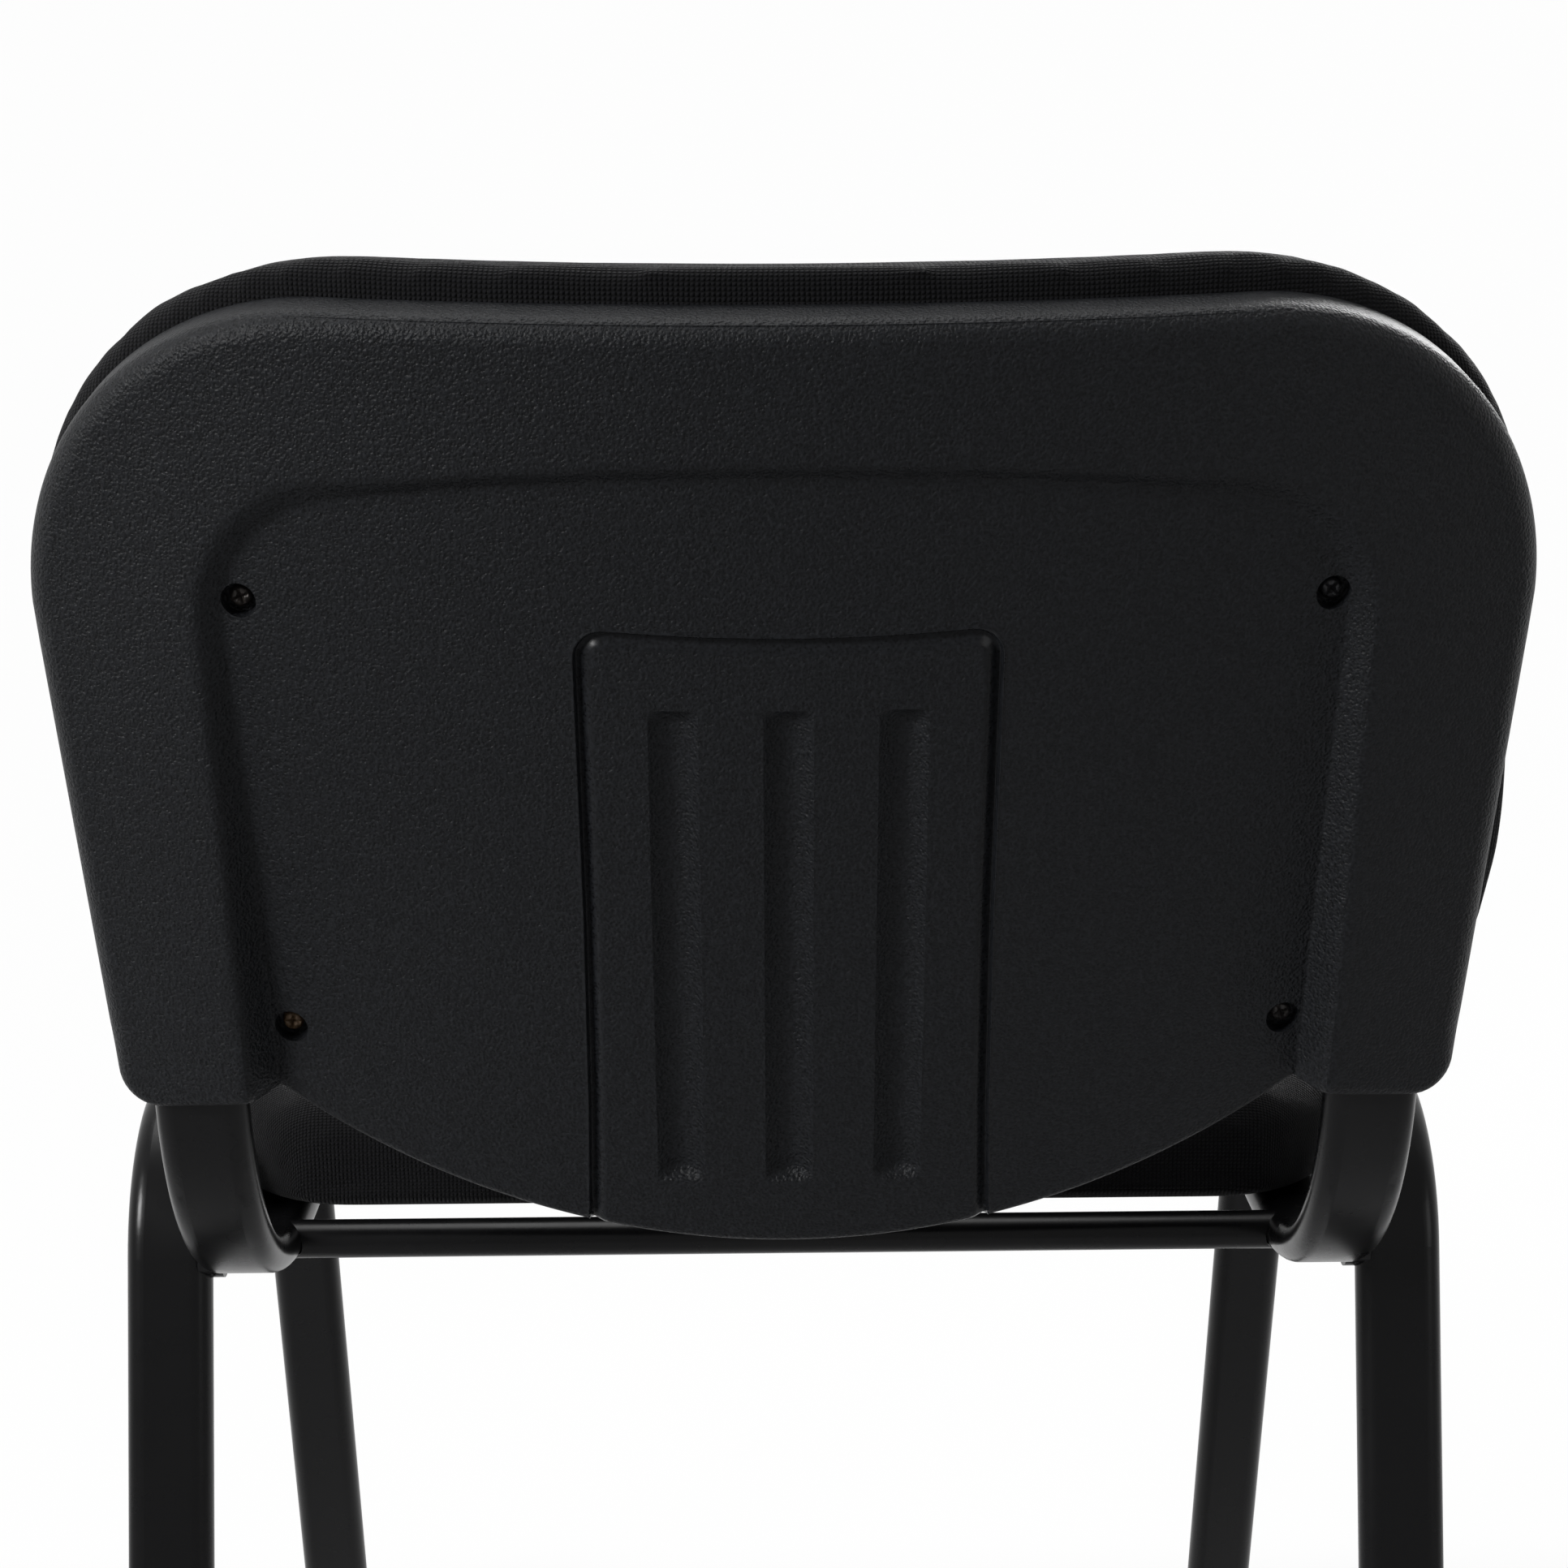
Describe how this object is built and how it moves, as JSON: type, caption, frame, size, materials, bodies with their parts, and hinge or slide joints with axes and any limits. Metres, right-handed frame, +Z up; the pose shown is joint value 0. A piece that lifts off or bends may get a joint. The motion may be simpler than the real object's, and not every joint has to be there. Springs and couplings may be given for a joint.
{
  "type": "visitor chair",
  "caption": "Stacking visitor chair on bent flat oval steel tube legs, with an upholstered seat and a curved upholstered back covered behind by a moulded plastic shell.",
  "frame": {"origin": "on the floor, under the middle of the chair's bounding box", "axes": "+Z up, +X to the sitter's left, the sitter faces -Y"},
  "size_m": [0.5484, 0.6262, 0.8156],
  "materials": {
    "steel_tube": "gloss black powder coat",
    "shell_plastic": "fine leather grain, satin",
    "foot_plastic": "satin",
    "cushion_fabric": "coarse plain weave",
    "dust_cloth": "thin felted cloth",
    "foam": "open-cell foam",
    "plywood": "raw",
    "screw_steel": "blackened",
    "spacer_plastic": "satin"
  },
  "bodies": {
    "root": {"leg_frame_left": "steel_tube", "leg_frame_right": "steel_tube", "back_tube_left": "steel_tube", "back_tube_right": "steel_tube", "rear_cross_bar": "steel_tube", "front_cross_bar": "steel_tube", "rear_weld_left": "steel_tube", "rear_weld_right": "steel_tube", "front_weld_left": "steel_tube", "front_weld_right": "steel_tube", "back_shell": "shell_plastic", "rear_foot_left": "foot_plastic", "rear_foot_right": "foot_plastic", "front_foot_left": "foot_plastic", "front_foot_right": "foot_plastic", "rail_plug_left": "foot_plastic", "rail_plug_right": "foot_plastic", "upright_plug_left": "foot_plastic", "upright_plug_right": "foot_plastic", "seat_cover": "cushion_fabric", "back_cover": "cushion_fabric", "seat_dust_cloth": "dust_cloth", "seat_foam": "foam", "back_foam": "foam", "seat_board": "plywood", "back_board": "plywood", "shell_screws": "screw_steel", "back_screws": "screw_steel", "seat_bolts": "screw_steel", "seat_tee_nuts": "screw_steel", "back_spacers": "spacer_plastic"}
  },
  "joints": []
}
